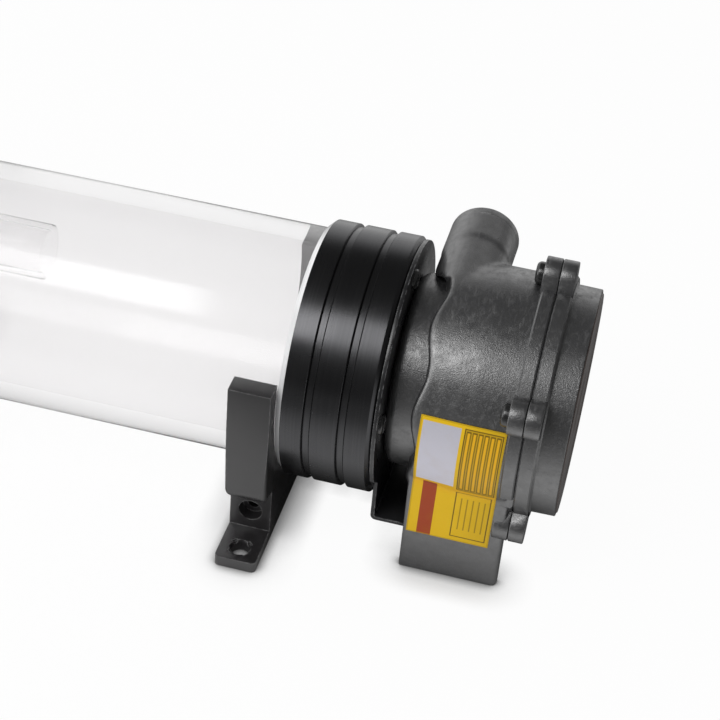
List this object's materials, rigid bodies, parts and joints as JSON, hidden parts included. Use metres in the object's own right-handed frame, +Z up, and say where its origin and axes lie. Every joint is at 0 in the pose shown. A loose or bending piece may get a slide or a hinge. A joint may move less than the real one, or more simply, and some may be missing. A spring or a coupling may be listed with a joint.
{
  "type": "coolant pump reservoir",
  "caption": "Horizontal liquid-cooling reservoir: a clear tube between black collars on saddle brackets, with a rotary coolant pump, side outlet spout and label bolted to one end",
  "frame": {"origin": "centre of the overall bounding box in x and y, on the plane that the feet stand on", "axes": "+X along the tube from the reservoir's free end to the pump's motor, +Y to the back, the way the outlet spout points, +Z up"},
  "size_m": [0.2108, 0.0814, 0.0784],
  "materials": {
    "clear_acrylic": "clear polished acrylic, about 1.5 refractive index",
    "frosted_acrylic": "clear acrylic pipe, lightly frosted",
    "black_anodised": "black anodised aluminium, turned, satin with fine circular tool marks",
    "plug_acetal": "black acetal, turned",
    "seal_rubber": "black nitrile rubber",
    "bracket_nylon": "black moulded nylon, fine matte grain",
    "black_steel": "black coated steel sheet, semi gloss",
    "screw_steel": "black oxide steel",
    "pump_plastic": "dark grey glass-filled moulded plastic, mottled with fine scuffs",
    "cover_plate": "dark brown-grey coated sheet",
    "impeller_plastic": "black glass-filled plastic",
    "bush_graphite": "graphite-filled bearing plastic",
    "ferrite": "dark grey ferrite",
    "white_ceramic": "polished white ceramic",
    "stator_steel": "stacked steel sheets",
    "copper_wire": "enamelled copper wire",
    "board_green": "green circuit board",
    "label_film": "yellow plastic label film, blank"
  },
  "bodies": {
    "reservoir": {"reservoir_tube": "clear_acrylic", "pump_end_collar": "black_anodised", "far_end_collar": "black_anodised", "pump_end_plug": "plug_acetal", "far_end_plug": "plug_acetal", "plug_seals": "seal_rubber", "return_pipe": "frosted_acrylic", "pump_end_bracket": "bracket_nylon", "far_end_bracket": "bracket_nylon", "mounting_plate": "black_steel", "plate_screws": "screw_steel", "pump_screws": "screw_steel", "suction_cover": "pump_plastic", "nipple_seal": "seal_rubber", "cover_seal": "seal_rubber", "pump_housing": "pump_plastic", "motor_housing": "pump_plastic", "housing_screws": "screw_steel", "housing_seal": "seal_rubber", "rear_cover": "cover_plate", "motor_shaft": "white_ceramic", "thrust_washers": "white_ceramic", "separation_can": "impeller_plastic", "can_seal": "seal_rubber", "stator_core": "stator_steel", "stator_coils": "copper_wire", "control_board": "board_green", "cable_grommet": "seal_rubber", "rating_label": "label_film"},
    "rotor": {"impeller": "impeller_plastic", "rotor_bush": "bush_graphite", "rotor_magnet": "ferrite"},
    "stop": {"stop_plug": "black_anodised", "stop_plug_seal": "seal_rubber"}
  },
  "joints": [
    {"name": "impeller_spin", "type": "hinge", "parent": "reservoir", "child": "rotor", "pos_m": [0.0846, 0, 0.042], "axis": [1, 0, 0], "continuous": true},
    {"name": "stop_plug_unscrew", "type": "slide", "parent": "reservoir", "child": "stop", "axis": [-1, 0, 0], "range_m": [0, 0.014]}
  ]
}
